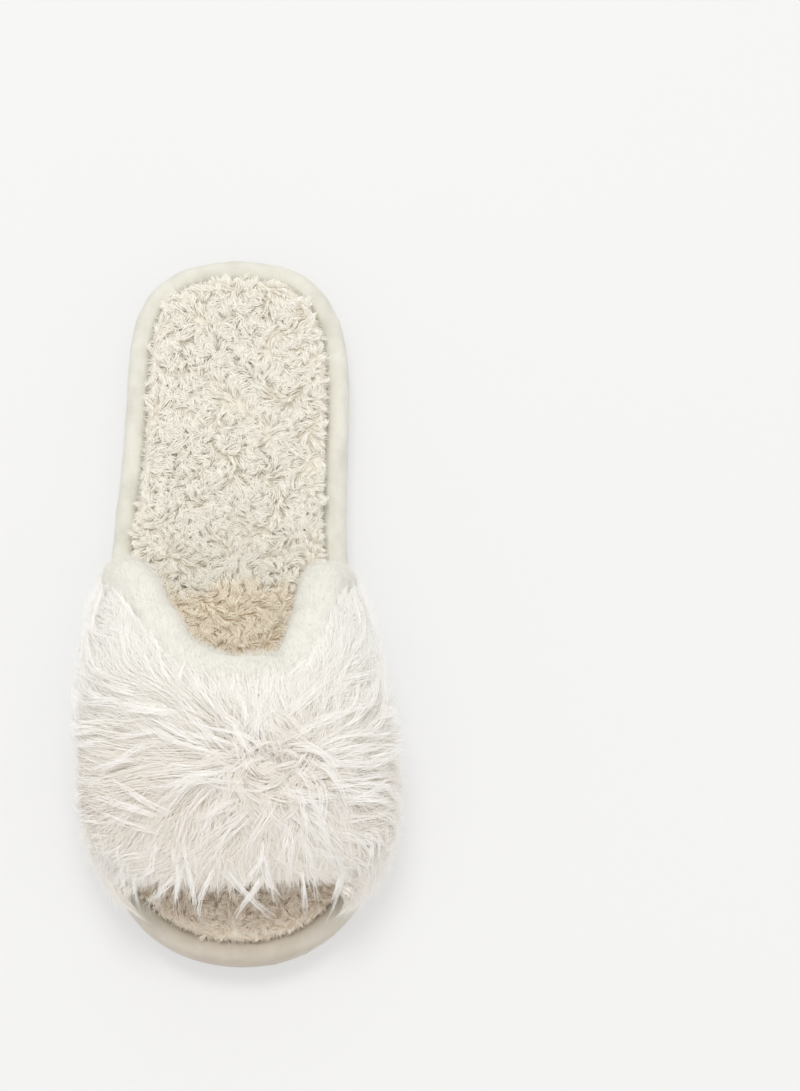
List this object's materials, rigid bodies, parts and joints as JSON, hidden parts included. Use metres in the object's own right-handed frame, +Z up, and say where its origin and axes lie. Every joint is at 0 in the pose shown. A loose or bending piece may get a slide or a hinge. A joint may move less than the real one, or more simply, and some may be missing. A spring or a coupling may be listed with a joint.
{
  "type": "fluffy house slipper",
  "caption": "Backless open-toe house slipper for a right foot: soft wrapped platform sole, plush footbed and a padded long-fur strap over the forefoot.",
  "frame": {"origin": "centre of the outsole's tread face, half way between heel and toe, on the ground", "axes": "+Z up, +Y towards the heel (the toe points along -Y), +X towards the big-toe side"},
  "size_m": [0.1132, 0.255, 0.0828],
  "materials": {
    "rubber": "matt moulded thermoplastic rubber",
    "foam": "closed-cell foam",
    "board": "fibreboard",
    "velour": "short-pile velour",
    "plush": "tufted plush, ivory at the heel and tan under the strap",
    "cloth": "woven cotton",
    "fleece": "smooth brushed fleece",
    "fur": "long faux fur",
    "thread": "polyester sewing thread"
  },
  "bodies": {
    "root": {"outsole": "rubber", "midsole": "foam", "midsole_cover": "velour", "insole_board": "board", "footbed_foam": "foam", "footbed_plush": "plush", "strap_backing": "cloth", "strap_padding": "foam", "strap_lining": "fleece", "strap_fur": "fur", "collar_cover": "fleece", "collar_core": "foam", "toe_edge_binding": "fleece", "collar_stitching": "thread", "toe_edge_stitching": "thread"}
  },
  "joints": []
}
